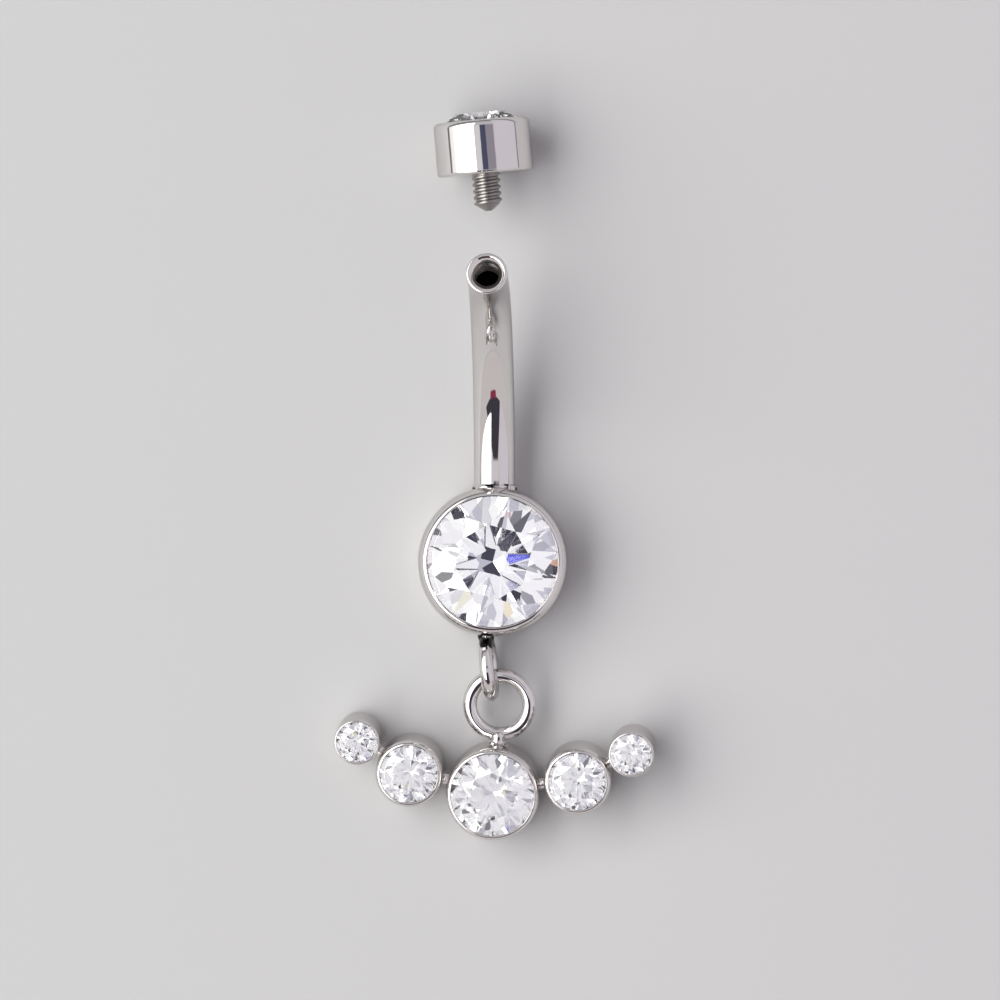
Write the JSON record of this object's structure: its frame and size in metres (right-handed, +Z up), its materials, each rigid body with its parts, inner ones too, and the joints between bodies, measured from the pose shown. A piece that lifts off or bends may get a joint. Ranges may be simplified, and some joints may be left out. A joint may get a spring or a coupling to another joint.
{
  "type": "navel ring",
  "caption": "Navel ring: curved bar with a bezel-set stone, a hooked-on drop of bezel-set stones, and an internally threaded end with its screw-on top gem taken off.",
  "frame": {"origin": "middle of the main setting's flat back, on the surface that the ring lies on", "axes": "+Z up from the surface, through the main stone's face; +Y from the main setting toward the bar and the top gem; the drop lies toward -Y"},
  "size_m": [0.0126, 0.0285, 0.009],
  "materials": {
    "polished_metal": "polished titanium, mirror bright",
    "clear_stone": "colourless cubic zirconia, cut and polished as round brilliants"
  },
  "bodies": {
    "root": {"curved_bar": "polished_metal", "drop_frame": "polished_metal", "top_setting": "polished_metal", "main_stone": "clear_stone", "drop_stone_center": "clear_stone", "drop_stone_left_inner": "clear_stone", "drop_stone_right_inner": "clear_stone", "drop_stone_left_outer": "clear_stone", "drop_stone_right_outer": "clear_stone", "top_stone": "clear_stone"}
  },
  "joints": []
}
